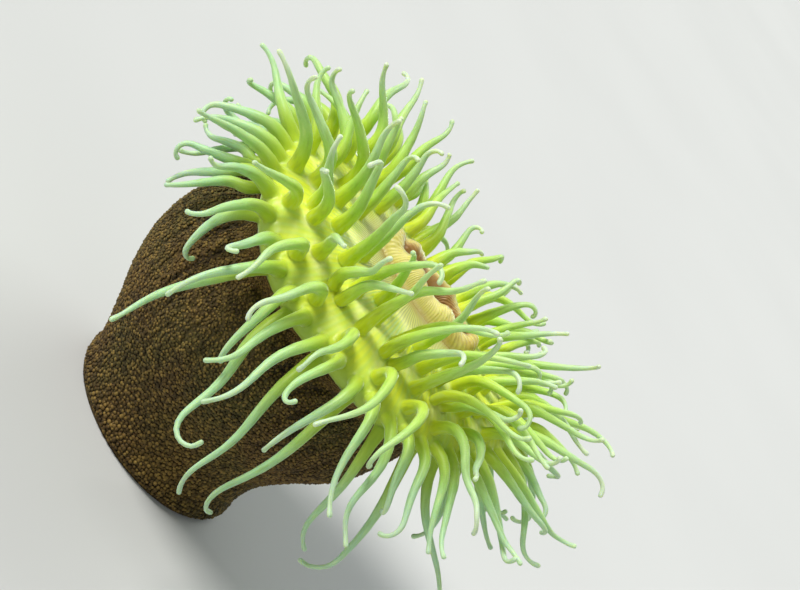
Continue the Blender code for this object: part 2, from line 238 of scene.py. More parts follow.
OUTER_ROWS = (
    Row("under the rim", 9.75, ((0.5,), (0.5,)), (-32, -66, -30, -78), (54, 54, 44, 86), 3.3),
    Row("rim", 10.95, ((0.25, 0.75), (0.25, 0.75)), (-4, -38, -8, -54), (52, 46, 46, 62), 3.3),
    Row("upper edge", 12.1, ((0.5,), (0.5,)), (20, 2, 16, -34), (52, 44, 50, 60), 3.4),
    Row("outer disc", 13.05, ((0.31, 0.69), (0.5,)), (38, 30, 34, 58), (50, 42, 50, 60), 3.4),
)
INNER_ROWS = (
    Row(
        "middle disc", 13.95, ((0.25, 0.75), (0.25, 0.75)), (52, 50, 56, 72), (46, 40, 52, 60), 3.5
    ),
    Row("inner disc", 14.65, ((0.44,), (0.56,)), (66, 64, 66, 74), (42, 36, 44, 50), 3.3),
)
FRINGE_ROWS = (
    Row("fringe", 9.55, ((0.22, 0.76), (0.22, 0.76)), (-30, -60, -26, -62), (48, 46, 46, 62), 3.1),
)


@dataclass
class Tentacle:
    """A tentacle's seat on the body, its root's radius, its middle line and its radii."""

    place: float
    station: float
    root: float
    line: np.ndarray
    radii: np.ndarray

    @property
    def length(self) -> float:
        """The length of the middle line, in metres."""
        return float(np.linalg.norm(np.diff(self.line, axis=0), axis=1).sum())

    def centres(self, shares: np.ndarray) -> np.ndarray:
        """Points on a smooth curve through the middle line, at shares of its length.

        Args:
            shares: how far along the points lie, from 0 to 1.

        Returns:
            The points, in metres.
        """
        last = len(self.line) - 1
        along = shares * last
        index = np.clip(along.astype(int), 0, last - 1)
        rest = (along - index)[:, None]
        before = self.line[np.maximum(index - 1, 0)]
        start, end = self.line[index], self.line[index + 1]
        after = self.line[np.minimum(index + 2, last)]
        return 0.5 * (
            2 * start
            + (end - before) * rest
            + (2 * before - 5 * start + 4 * end - after) * rest**2
            + (3 * start - before - 3 * end + after) * rest**3
        )


@dataclass(frozen=True)
class TentacleGrower:
    """Grows the crown's tentacles and parts them, exactly as the solids were grown."""

    body: BodyForm
    seed: int = 41
    outer_sectors: int = 24
    inner_sectors: int = 12
    fringe_sectors: tuple[int, ...] = (11, 12, 13)
    long_side: float = math.radians(16)
    tip: float = 0.85
    knob: float = 0.3
    taper: float = 1.1
    flare: float = 1.5
    flare_reach: float = 5.0
    hang: tuple[float, float, float] = (0.30, 0.0, -0.20)
    swing: float = 26.0
    stray: float = 14.0
    sway: float = 34.0
    arch: float = 42.0
    wave: float = 36.0
    hook: float = 150.0
    line_points: int = 16
    rounds: int = 120
    room: float = 1.9
    skin_room: float = 0.9
    first_free: int = 2
    lengths: tuple[float, float] = (0.78, 1.2)
    place_stray: float = 0.03
    station_stray: float = 0.08
    rise_share: float = 0.45
    hook_start: float = 0.72
    hook_share: float = 0.28
    hook_power: float = 1.3
    knob_place: float = 0.97
    knob_width: float = 0.03
    near: float = 20.0
    search_every: int = 10
    pace: float = 0.8

    def by_quarter(self, values: tuple, angle: float) -> float:
        """Blend a row's values for the right, back, left and front at this angle.

        Args:
            values: the four values.
            angle: the direction round the column, in radians.

        Returns:
            The blended value.
        """
        right, back, left, front = values
        skewed = angle - self.long_side * max(0.0, -math.sin(angle))
        across, deep = math.cos(skewed), math.sin(skewed)
        side = right if across > 0 else left
        end = back if deep > 0 else front
        return side * across**2 + end * deep**2

    def slim(self, share: Any, root: float) -> Any:
        """A tentacle's radius at shares of its length, without its flare, in millimetres."""
        body = self.tip + (root - self.tip) * (1 - share) ** self.taper
        off_knob = (share - self.knob_place) / self.knob_width
        return body + self.knob * np.exp(-(off_knob**2))

    def thickness(self, share: float, length: float, root: float) -> float:
        """A tentacle's radius at a share of its length, in millimetres."""
        return self.slim(share, root) + self.flare * math.exp(-share * length / self.flare_reach)

    @staticmethod
    def turned(direction: np.ndarray, axis: np.ndarray, radians: float) -> np.ndarray:
        """The direction, turned about an axis."""
        return direction * math.cos(radians) + np.cross(axis, direction) * math.sin(radians)

    def one(self, row: Row, place: float, station: float, dice: random.Random) -> Tentacle:
        """Grow one tentacle from the body, along its normal and then to its aim.

        Args:
            row: the ring of tentacles that it belongs to.
            place: its place round the crown, from 0 to 1.
            station: its place along the body's outline.
            dice: the seeded source of its accidents.

        Returns:
            The tentacle.
        """
        angle = float(self.body.sector_angle(np.array(place)))
        thin = row.root * (0.2 + 0.8 * (1 - self.body.crowding * math.cos(angle)))
        root = self.body.points(np.array(angle), np.array(station))
        normal = self.body.normals(np.array(angle), np.array(station))
        length = self.by_quarter(row.length, angle) * dice.uniform(*self.lengths)
        swing = math.radians(self.swing * dice.uniform(-1, 1))
        rise = math.radians(self.by_quarter(row.aim, angle) + self.stray * dice.uniform(-1, 1))
        outward = np.array((math.cos(angle + swing), math.sin(angle + swing), 0.0))
        aim = outward * math.cos(rise) + np.array((0.0, 0.0, math.sin(rise)))
        sway = math.radians(self.sway * dice.uniform(-1, 1))
        arch = math.radians(self.arch * dice.uniform(-1, 1))
        wave = math.radians(self.wave * dice.uniform(0.2, 1))
        phase = dice.uniform(0, math.tau)
        waves = dice.uniform(0.8, 1.5)
        hook = math.radians(self.hook * dice.uniform(-1, 1))
        hook_tilt = dice.uniform(-1, 1)
        side = np.cross(aim, (0.0, 0.0, 1.0)) + 1e-6
        side /= np.linalg.norm(side)
        over = np.cross(side, aim)
        hook_axis = side * math.cos(hook_tilt) + over * math.sin(hook_tilt)
        steps = self.line_points - 1
        line = [root]
        for index in range(steps):
            along = (index + 0.5) / steps
            ease = min(1.0, along / self.rise_share)
            ease = ease * ease * (3 - 2 * ease)
            direction = normal * (1 - ease) + aim * ease + along * np.array(self.hang)
            direction /= np.linalg.norm(direction)
            bend = sway * along + wave * along * math.sin(phase + waves * math.tau * along)
            direction = self.turned(direction, over, bend)
            direction = self.turned(direction, side, arch * along)
            hooked = max(0.0, (along - self.hook_start) / self.hook_share)
            direction = self.turned(direction, hook_axis, hook * hooked**self.hook_power)
            line.append(line[-1] + length * MM / steps * direction / np.linalg.norm(direction))
        radii = [self.thickness(k / steps, length, thin) for k in range(steps + 1)]
        return Tentacle(place, station, thin, np.array(line), np.array(radii) * MM)

    def seated(
        self,
        rows: tuple[Row, ...],
        sectors: int,
        dice: random.Random,
        only: tuple[int, ...] = (),
    ) -> list[Tentacle]:
        """Grow every tentacle of these rows, sector by sector.

        Args:
            rows: the rings of tentacles.
            sectors: how many sectors the crown has.
            dice: the seeded source of their accidents.
            only: the sectors that carry these rows, where not all do.

        Returns:
            The tentacles.
        """
        grown = []
        for sector in only or range(sectors):
            for row in rows:
                for seat in row.seats[sector % 2]:
                    place = (sector + seat + self.place_stray * dice.uniform(-1, 1)) / sectors
                    station = row.station + self.station_stray * dice.uniform(-1, 1)
                    grown.append(self.one(row, place, station, dice))
        return grown

    def surface_samples(self) -> tuple[KDTree, np.ndarray, np.ndarray]:
        """Sample the body above its sole.

        Returns:
            A search tree of the sample points, the points and their normals.
        """
        turns = np.arange(120) * math.tau / 120
        last = len(self.body.stations) - 1
        stations = np.arange(12, 4 * last + 1) / 4
        angle, station = (one.ravel() for one in np.meshgrid(turns, stations, indexing="ij"))
        points = self.body.points(angle, station)
        normals = self.body.normals(angle, np.minimum(station, last - 0.05))
        tree = KDTree(len(points))
        for index, point in enumerate(points):
            tree.insert(point, index)
        tree.balance()
        return tree, points, normals

    @staticmethod
    def near_pairs(points: np.ndarray, owner: np.ndarray, reach: float) -> tuple:
        """The pairs of points of different tentacles that lie within reach of each other.

        Args:
            points: all the points of all the lines.
            owner: the tentacle of each point.
            reach: how far apart the two may lie, in metres.

        Returns:
            The pairs' first and second points.
        """
        first, second = [], []
        for index in range(len(points) - 1):
            apart = np.linalg.norm(points[index + 1 :] - points[index], axis=1)
            close = np.flatnonzero(apart < reach) + index + 1
            close = close[owner[close] != owner[index]]
            first.append(np.full(len(close), index))
            second.append(close)
        return np.concatenate(first), np.concatenate(second)

    def spread_apart(self, grown: list[Tentacle]) -> None:
        """Push the tentacles apart, and off the body, until there is air between them all.

        Args:
            grown: the tentacles, whose lines are changed.
        """
        count, points_each = len(grown), self.line_points
        lines = np.stack([one.line for one in grown])
        wide = np.stack([one.radii for one in grown]).ravel()
        steps = np.linalg.norm(lines[:, 1] - lines[:, 0], axis=1)
        owner = np.repeat(np.arange(count), points_each)
        free = np.tile(np.arange(points_each) >= self.first_free, count)
        tree, skin, normals = self.surface_samples()
        for turn in range(self.rounds):
            points = lines.reshape(-1, 3)
            if turn % self.search_every == 0:
                first, second = self.near_pairs(points, owner, self.near * MM)
                least = wide[first] + wide[second] + self.room * MM
            push = np.zeros_like(points)
            between = points[first] - points[second]
            apart = np.linalg.norm(between, axis=1)
            short = np.maximum(least - apart, 0) / np.maximum(apart, 1e-9) * 0.5
            np.add.at(push, first, between * short[:, None])
            np.add.at(push, second, -between * short[:, None])
            for index in np.flatnonzero(free):
                nearest = tree.find(points[index])[1]
                height = (points[index] - skin[nearest]) @ normals[nearest]
                lack = wide[index] + self.skin_room * MM - height
                if lack > 0:
                    push[index] += normals[nearest] * lack
            push[~free] = 0
            push = push.reshape(count, points_each, 3)
            for _ in range(3):
                push[:, 1:-1] = (push[:, :-2] + 2 * push[:, 1:-1] + push[:, 2:]) / 4
            lines = lines + self.pace * push
            for index in range(self.first_free, points_each):
                stretch = lines[:, index] - lines[:, index - 1]
                stretch *= (steps / np.linalg.norm(stretch, axis=1))[:, None]
                lines[:, index] = lines[:, index - 1] + stretch
        for one, line in zip(grown, lines):
            one.line = line

    def grow(self) -> list[Tentacle]:
        """Grow all the crown's tentacles and part them.

        Returns:
            The tentacles.
        """
        dice = random.Random(self.seed)
        grown = self.seated(OUTER_ROWS, self.outer_sectors, dice)
        grown += self.seated(INNER_ROWS, self.inner_sectors, dice)
        grown += self.seated(FRINGE_ROWS, self.outer_sectors, dice, self.fringe_sectors)
        self.spread_apart(grown)
        return grown


# ---------------------------------------------------------------- the skin's form


@dataclass(frozen=True)
class LipsForm:
    """The long, raised, pleated ring of the lips, and the throat between them."""

    centre: float = 19.0
    half_length: float = 29.5
    half_width: float = 9.5
    spread: float = 5.8
    height: float = 8.4
    base: float = 154.2
    lobes: int = 6
    pleats: int = 38
    pleat_depth: float = 0.14
    throat_depth: float = 13.0

    def turns(self, place: np.ndarray) -> np.ndarray:
        """The ellipse's own angle at even steps round it, for places from 0 to 1.

        Args:
            place: places round the lips.

        Returns:
            The angles, in radians.
        """
        fine = np.linspace(0, math.tau, 1441)
        steps = np.hypot(
            self.half_length * np.diff(np.cos(fine)), self.half_width * np.diff(np.sin(fine))
        )
        run = np.concatenate([[0], np.cumsum(steps)])
        return np.interp(np.remainder(place, 1.0), run / run[-1], fine)

    def points(self, place: np.ndarray, spread: np.ndarray, rise: np.ndarray) -> np.ndarray:
        """Points beside the middle line of the lips.

        Args:
            place: places round the lips, from 0 to 1.
            spread: how far outwards from the middle line, in millimetres.
            rise: how far above the lips' base, in millimetres.

        Returns:
            The points, in metres.
        """
        turn = self.turns(place)
        across, deep = np.cos(turn), np.sin(turn)
        out_x, out_y = across * self.half_width, deep * self.half_length
        size = np.hypot(out_x, out_y)
        x = self.centre + self.half_length * across + spread * out_x / size
        y = self.half_width * deep + spread * out_y / size
        return np.stack([x, y, self.base + rise], -1) * MM


@dataclass(frozen=True)
class SkinForm:
    """The whole skin over a place round the animal and a level from the sole to the throat.

    Levels run from -1 in the middle of the sole to 0 at its edge, then with the body's stations
    to 15, over the bare disc to 16, over the lips to 17 and down the throat to 18.
    """

    body: BodyForm
    lips: LipsForm
    wart_depth: float = 1.0
    wart_top: float = 9.15
    cover_edge: float = 7.0
    folds: int = 44
    fold_depth: float = 3.0
    fold_levels: tuple[float, float, float, float] = (3.6, 6.8, 8.6, 9.6)

    def fold(self, place: np.ndarray, level: np.ndarray) -> np.ndarray:
        """How deep in an upright fold of the column's top a place lies, from 0 to 1. The depth also
        masks the painted shade in the folds.

        Args:
            place: places round the animal, from 0 to 1.
            level: levels, one for each place.

        Returns:
            The depths, as shares of the deepest fold.
        """
        angle = self.body.sector_angle(place)
        low, full, last, none = self.fold_levels
        high = np.clip((level - low) / (full - low), 0, 1)
        high = high * np.clip((none - level) / (none - last), 0, 1)
        wander = 0.4 * np.sin(3 * angle + level) + 0.3 * np.sin(7 * angle - 0.8 * level)
        crease = 0.5 + 0.5 * np.sin(self.folds * angle + 4 * wander)
        uneven = 0.5 + 0.3 * np.sin(5 * angle + 1.3 + 0.9 * level) + 0.2 * np.sin(17 * angle)
        return high * uneven * crease**3

    def inset(self, place: np.ndarray, level: np.ndarray) -> np.ndarray:
        """How far the skin lies inside the solids, under its warts and in its folds."""
        cover = 1 / (1 + np.exp((level - self.wart_top) * self.cover_edge))
        return self.wart_depth * cover + self.fold_depth * self.fold(place, level)

    def points(self, place: np.ndarray, level: np.ndarray) -> np.ndarray:
        """Find points of the skin.

        Args:
            place: places round the animal, from 0 to 1.
            level: levels, one for each place.

        Returns:
            The points, in metres.
        """
        angle = self.body.sector_angle(place)
        flesh = self.body.points(angle, np.clip(level, 0.0, 15.0))
        inward = np.stack([-np.cos(angle), -np.sin(angle), np.zeros_like(angle)], -1)
        foot = np.clip(level / 0.5, 0, 1)[..., None]
        flesh = flesh + inward * (self.inset(place, level) * MM)[..., None] * foot
        sole = np.clip(1 + level, 0, 1)[..., None]
        flesh = flesh * np.where(level[..., None] < 0, sole, 1.0)
        disc = np.clip(level - 15, 0, 1)
        ring = np.clip(level - 16, 0, 1) * math.pi
        throat = np.clip(level - 17, 0, 1)
        pleat = np.sin(math.tau * self.lips.pleats * place + 1.4 * np.sin(9 * angle))
        pleat = pleat * self.lips.pleat_depth
        bulge = np.sin(self.lips.lobes * angle + 0.9 * np.sin(2 * angle + 0.4) + 0.6)
        swell = 1 + 0.17 * bulge + 0.04 * np.sin(13 * angle)
        spread = self.lips.spread * np.cos(ring) * (1 + 0.1 * bulge * np.sin(ring))
        spread = spread + pleat * np.sin(ring) * np.cos(ring)
        spread = spread - throat * (self.lips.half_width - self.lips.spread)
        rise = (self.lips.height * swell + pleat) * np.sin(ring) ** 0.8
        rise = rise - self.lips.throat_depth * throat - 0.5 * (1 - np.sin(ring)) * (throat == 0)
        lips = self.lips.points(place, spread, rise)
        slit = np.where(level >= 18, 0.0, 1.0)
        lips[..., 1] *= slit
        ease = disc * disc * (3 - 2 * disc)
        mixed = flesh * (1 - disc[..., None]) + lips * disc[..., None]
        mixed[..., 2] = flesh[..., 2] * (1 - ease) + lips[..., 2] * ease
        return np.where(level[..., None] <= 15, flesh, mixed)


# ---------------------------------------------------------------- the skin's mesh


class Patch(NamedTuple):
    """The cells of the skin's grid that open into one tentacle."""

    column: int
    row: int
    wide: int
    high: int

    def corners(self) -> list[tuple[int, int]]:
        """The grid's corners round the patch, in order.

        Returns:
            The corners' columns and rows.
        """
        right, top = self.column + self.wide, self.row + self.high
        return (
            [(i, self.row) for i in range(self.column, right)]
            + [(right, j) for j in range(self.row, top)]
            + [(i, top) for i in range(right, self.column, -1)]
            + [(self.column, j) for j in range(top, self.row, -1)]
        )

    def covered(self) -> set[tuple[int, int]]:
        """All the grid's corners in and round the patch."""
        right, top = self.column + self.wide + 1, self.row + self.high + 1
        return {(i, j) for i in range(self.column, right) for j in range(self.row, top)}

    def cells(self) -> list[tuple[int, int]]:
        """The cells inside the patch, by their lowest corners.

        Returns:
            The cells' columns and rows.
        """
        return [
            (i, j)
            for i in range(self.column, self.column + self.wide)
            for j in range(self.row, self.row + self.high)
        ]


@dataclass
class Skin:
    """One closed skin: a grid wrapped round the body, which opens into every tentacle."""

    form: SkinForm
    grower: TentacleGrower
    tentacles: list[Tentacle]
    columns: int = 240
    sole_rings: int = 6
    column_step: float = 2.5
    crown_step: float = 2.0
    disc_rings: int = 10
    lips_rings: int = 14
    throat_rings: int = 6
    body_share: float = 0.56
    strips: int = 44
    root_flare: float = 0.7
    flare_reach: float = 3.5
    streak: float = 14 * MM
    long_rings: int = 21
    tip_bias: float = 1.45
    root_steps: tuple[float, ...] = (0.6, 1.4, 2.5, 4.0)
    tip_steps: tuple[tuple[float, float], ...] = ((1.25, 1.0), (0.7, 0.9), (0.25, 0.58))
    patch_size: float = 6.4 * MM
    most_wide: int = 5
    most_high: int = 4
    root_share: float = 0.455
    loose_levels: tuple[float, float] = (8.2, 15.2)
    loosening: int = 14
    ripples: tuple[tuple[float, float], ...] = ((0.55, 40.0), (0.9, 90.0))
    ripple_depth: float = 0.022
    probe: float = 0.002
    dense_level: float = 8.5
    strip_gap: float = 0.02

    def levels(self) -> np.ndarray:
        """The levels of the grid's rings, closer together over the crown.

        Returns:
            The levels, upwards.
        """
        fine = np.linspace(0, 15, 3001)
        line = self.form.body.points(np.full_like(fine, math.pi * 0.6), fine)
        step = np.where(fine < self.dense_level, self.column_step, self.crown_step)[1:] * MM
        count = np.concatenate([[0], np.cumsum(np.diff(reached(line)) / step)])
        flesh = np.interp(np.linspace(0, count[-1], round(count[-1]) + 1), count, fine)
        sole = -1 + np.arange(self.sole_rings) / self.sole_rings
        disc = 15 + np.arange(1, self.disc_rings + 1) / self.disc_rings
        lips = 16 + np.arange(1, self.lips_rings + 1) / self.lips_rings
        throat = 17 + np.arange(1, self.throat_rings + 1) / self.throat_rings
        return np.concatenate([sole, flesh, disc, lips, throat])

    def spans_at(self, one: Tentacle) -> tuple[np.ndarray, np.ndarray]:
        """How the skin runs round the body and up it at a tentacle's root."""
        return spans(self.form.points, np.array(one.place), np.array(one.station), self.probe)

    def metric(self, one: Tentacle) -> tuple[float, float]:
        """How many metres the skin spans for a unit of place and of level at a root."""
        around, upward = self.spans_at(one)
        return np.linalg.norm(around) / 2 / self.probe, np.linalg.norm(upward) / 2 / self.probe

    def patches(self, levels: np.ndarray) -> list[Patch]:
        """Choose the cells that open into each tentacle.

        Args:
            levels: the levels of the grid's rings.

        Returns:
            One patch for each tentacle, none touching another.
        """
        taken: set[tuple[int, int]] = set()
        chosen = []
        for one in self.tentacles:
            around, upward = self.metric(one)
            column = one.place * self.columns
            row = float(np.interp(one.station, levels, np.arange(len(levels))))
            tall = (levels[int(row) + 1] - levels[int(row)]) * upward
            wide = int(np.clip(round(self.patch_size / (around / self.columns)), 2, self.most_wide))
            high = int(np.clip(round(self.patch_size / tall), 2, self.most_high))
            patch = self.free_patch(column, row, wide, high, taken)
            taken |= patch.covered()
            chosen.append(patch)
        return chosen

    def free_patch(
        self, column: float, row: float, wide: int, high: int, taken: set[tuple[int, int]]
    ) -> Patch:
        """Find the patch nearest to a place that touches no other, smaller if it must be.

        Args:
            column: the place's column, with its fraction.
            row: the place's row, with its fraction.
            wide: the wanted number of columns.
            high: the wanted number of rows.
            taken: the corners that other patches cover.

        Returns:
            The patch.
        """
        around = [(i, j) for i in (-1, 0, 1) for j in (-1, 0, 1)]
        shifts = sorted(around, key=lambda shift: shift[0] ** 2 + shift[1] ** 2)
        while wide and high:
            for right, up in shifts:
                first = min(max(round(column - wide / 2) + right, 1), self.columns - 1 - wide)
                patch = Patch(first, round(row - high / 2) + up, wide, high)
                if not patch.covered() & taken:
                    return patch
            wide, high = (wide - 1, high) if wide >= high else (wide, high - 1)
        raise ValueError(f"no room for a tentacle at column {column:.1f}, row {row:.1f}")

    def root_radii(self) -> np.ndarray:
        """The radius of each tentacle's foot on the skin, less where neighbours are close.

        Returns:
            The radii, in metres.
        """
        roots = np.stack([one.line[0] for one in self.tentacles])
        apart = np.linalg.norm(roots[:, None] - roots[None], axis=2)
        np.fill_diagonal(apart, 1.0)
        wanted = np.array([one.root * MM for one in self.tentacles]) + self.root_flare * MM
        return np.minimum(wanted, self.root_share * apart.min(axis=1))

    def relaxed(self, patches: list[Patch], levels: np.ndarray) -> tuple:
        """Move the grid's corners so that each patch's edge is a circle round its root.

        Args:
            patches: the tentacles' patches.
            levels: the levels of the grid's rings.

        Returns:
            The places and the levels of all the corners, and each patch's corner directions.
        """
        shape = (self.columns + 1, len(levels))
        place = np.repeat(np.arange(shape[0])[:, None] / self.columns, shape[1], axis=1)
        level = np.repeat(levels[None], shape[0], axis=0)
        moved = np.zeros((*shape, 2))
        fixed = np.zeros(shape, bool)
        lowest, highest = self.loose_levels
        fixed[:, (levels < lowest) | (levels > highest)] = True
        directions = []
        for one, patch, radius in zip(self.tentacles, patches, self.root_radii()):
            around, upward = self.metric(one)
            corners = patch.corners()
            first = math.atan2(-patch.high, -patch.wide)
            turns = first + math.tau * np.arange(len(corners)) / len(corners)
            directions.append(turns)
            for (i, j), turn in zip(corners, turns):
                moved[i, j, 0] = one.place + radius * math.cos(turn) / around - place[i, j]
                moved[i, j, 1] = one.station + radius * math.sin(turn) / upward - level[i, j]
                fixed[i, j] = True
        for _ in range(self.loosening):
            ahead = np.concatenate([moved[1:], moved[1:2]])
            behind = np.concatenate([moved[-2:-1], moved[:-1]])
            over = np.concatenate([moved[:, 1:], moved[:, -1:]], axis=1)
            under = np.concatenate([moved[:, :1], moved[:, :-1]], axis=1)
            mean = (ahead + behind + over + under) / 4
            moved = np.where(fixed[..., None], moved, mean)
        return place + moved[..., 0], level + moved[..., 1], directions

    def rings(self, one: Tentacle, radius: float, turns: np.ndarray) -> tuple:
        """Places of a tentacle's rings beyond its foot.

        Args:
            one: the tentacle.
            radius: the radius of its foot.
            turns: the directions of its corners, seen along it.

        Returns:
            The rings' corners, the rings' distances from the foot and the whole length.
        """
        length = one.length
        end = length - self.tip_steps[0][0] * MM
        roots = np.array(self.root_steps) * MM
        left = (1 - np.linspace(0, 1, self.long_rings + 2)[1:-1]) ** self.tip_bias
        middle = end - (end - roots[-1]) * left
        tip = length - np.array([back for back, _ in self.tip_steps]) * MM
        runs = np.concatenate([roots, middle, tip, [length]])
        shares = runs / length
        slim = self.grower.slim(shares, one.root)
        wide = (slim + (radius / MM - slim[0]) * np.exp(-runs / MM / self.flare_reach)) * MM
        ripple = sum(np.sin(runs / MM * rate + one.place * start) for rate, start in self.ripples)
        wide = wide * (1 + self.ripple_depth * ripple)
        wide[-len(self.tip_steps) - 1 : -1] *= [share for _, share in self.tip_steps]
        wide[-1] = 0.0
        centres = one.centres(shares)
        ahead = np.gradient(np.concatenate([one.line[:1], centres]), axis=0)[1:]
        ahead /= np.linalg.norm(ahead, axis=1)[:, None]
        side, _ = self.spans_at(one)
        placed = []
        for centre, reach, forward in zip(centres, wide, ahead):
            side = side - forward * (side @ forward)
            side /= np.linalg.norm(side)
            other = np.cross(forward, side)
            spokes = np.cos(turns)[:, None] * side + np.sin(turns)[:, None] * other
            placed.append(centre + reach * spokes)
        return placed, runs, length

    def spin(self, turn: float, number: int, run: float) -> tuple[float, float, float]:
        """A place for streaks on a tentacle: round it, and slowly along it."""
        return math.cos(turn), math.sin(turn), 3.7 * number + run / self.streak

    def build(self) -> bpy.types.Object:
        """Make the skin.

        Returns:
            The skin's object, with its unwrap and the attributes that its finish reads.
        """
        levels = self.levels()
        rows = len(levels) - 1
        patches = self.patches(levels)
        place, level, directions = self.relaxed(patches, levels)
        points = self.form.points(place, level)
        # The folds' depth, kept on the skin as the mask of the painted shade in the folds.
        folds = self.form.fold(place, level)
        mesh = bmesh.new()
        unwrap = mesh.loops.layers.uv.new(UNWRAP)
        bmesh.ops.create_grid(mesh, x_segments=self.columns, y_segments=rows, size=0.5)
        names = ("level", "along", "tint", "run", "fold")
        layers = {name: mesh.verts.layers.float.new(name) for name in names}
        layers["spin"] = mesh.verts.layers.float_vector.new("spin")
        owner = mesh.verts.layers.int.new("owner")
        side = mesh.verts.layers.int.new("side")
        corners = {}
        for vert in mesh.verts:
            i = round((vert.co.x + 0.5) * self.columns)
            j = round((vert.co.y + 0.5) * rows)
            corners[i, j] = vert
        run = reached(self.form.points(np.full(rows + 1, UNWRAP_PLACE), levels))
        run *= self.body_share / run[-1]
        cells = {}
        for face in mesh.faces:
            middle = face.calc_center_median()
            i = int((middle.x + 0.5) * self.columns)
            j = int((middle.y + 0.5) * rows)
            cells[i, j] = face
            for loop in face.loops:
                x = round((loop.vert.co.x + 0.5) * self.columns)
                y = round((loop.vert.co.y + 0.5) * rows)
                loop[unwrap].uv = (x / self.columns, run[y])
        for (i, j), vert in corners.items():
            vert.co = points[i, j]
            vert[layers["level"]] = level[i, j]
            vert[layers["fold"]] = folds[i, j]
            vert[layers["tint"]] = 0.5
        feet = []
        for number, patch in enumerate(patches):
            round_foot = [corners[corner] for corner in patch.corners()]
            for turn, vert in enumerate(round_foot):
                vert[owner] = number
                vert[side] = turn
                vert[layers["spin"]] = self.spin(directions[number][turn], number, 0.0)
            feet.append(round_foot)
        edges = []
        for foot in feet:
            for one, other in zip(foot, foot[1:] + foot[:1]):
                edges.append(mesh.edges.get((one, other)))
        opened = [cells[cell] for patch in patches for cell in patch.cells()]
        bmesh.ops.delete(mesh, geom=opened, context="FACES")
        self.draw_out(mesh, edges, directions, layers, owner, side, unwrap)
        bmesh.ops.remove_doubles(mesh, verts=mesh.verts[:], dist=1e-6)
        bmesh.ops.recalc_face_normals(mesh, faces=mesh.faces[:])
        mesh.verts.layers.int.remove(mesh.verts.layers.int["owner"])
        mesh.verts.layers.int.remove(mesh.verts.layers.int["side"])
        return finished("skin", mesh)

    def draw_out(
        self,
        mesh: bmesh.types.BMesh,
        edges: list[bmesh.types.BMEdge],
        directions: list[np.ndarray],
        layers: dict[str, Any],
        owner: Any,
        side: Any,
        unwrap: Any,
    ) -> None:
        """Extrude every open foot, ring by ring, into its tentacle.

        Args:
            mesh: the skin's mesh.
            edges: the edges of all the open feet.
            directions: each foot's corner directions.
            layers: the skin's float layers.
            owner: the layer that numbers the tentacles.
            side: the layer that numbers the corners of a ring.
            unwrap: the skin's unwrap.
        """
        radii = self.root_radii()
        plans = [self.rings(*plan) for plan in zip(self.tentacles, radii, directions)]
        tints = np.random.default_rng(7).uniform(0, 1, len(plans))
        ring_count = len(plans[0][1])
        free = 1 - self.body_share - 1.5 * self.strip_gap
        high = free / math.ceil(len(plans) / self.strips)
        for ring in range(ring_count):
            made = bmesh.ops.extrude_edge_only(mesh, edges=edges)["geom"]
            fresh = {item for item in made if isinstance(item, bmesh.types.BMVert)}
            for vert in fresh:
                number = vert[owner]
                placed, runs, length = plans[number]
                vert.co = placed[ring][vert[side]]
                turn = directions[number][vert[side]]
                vert[layers["spin"]] = self.spin(turn, number, runs[ring])
                vert[layers["along"]] = runs[ring] / length
                vert[layers["run"]] = runs[ring]
                vert[layers["tint"]] = tints[number]
                vert[layers["level"]] = self.tentacles[number].station
            for face in (item for item in made if isinstance(item, bmesh.types.BMFace)):
                number = face.loops[0].vert[owner]
                sides = len(directions[number])
                turns = [loop.vert[side] for loop in face.loops]
                wraps = max(turns) - min(turns) > 1
                column, row = number % self.strips, number // self.strips
                _, runs, length = plans[number]
                for loop, turn in zip(face.loops, turns):
                    turn = sides if wraps and turn == 0 else turn
                    run = runs[ring] if loop.vert in fresh else (runs[ring - 1] if ring else 0)
                    upward = row + 0.02 + 0.94 * run / length
                    loop[unwrap].uv = (
                        (column + 0.05 + 0.9 * turn / sides) / self.strips,
                        self.body_share + self.strip_gap + high * upward,
                    )
            edges = [
                item
                for item in made
                if isinstance(item, bmesh.types.BMEdge) and set(item.verts) <= fresh
            ]


def finished(name: str, mesh: bmesh.types.BMesh) -> bpy.types.Object:
    """Turn a bmesh into a named, smooth object.

    Args:
        name: the object's name.
        mesh: the bmesh, which is freed.

    Returns:
        The object.
    """
    data = bpy.data.meshes.new(name)
    mesh.to_mesh(data)
    mesh.free()
    return placed_object(name, data)


def placed_object(name: str, data: bpy.types.Mesh) -> bpy.types.Object:
    """Put a smooth mesh into the scene as an object at the origin.

    Args:
        name: the object's name.
        data: its mesh.

    Returns:
        The object.
    """
    data.shade_smooth()
    made = bpy.data.objects.new(name, data)
    bpy.context.scene.collection.objects.link(made)
    return made


# ---------------------------------------------------------------- warts


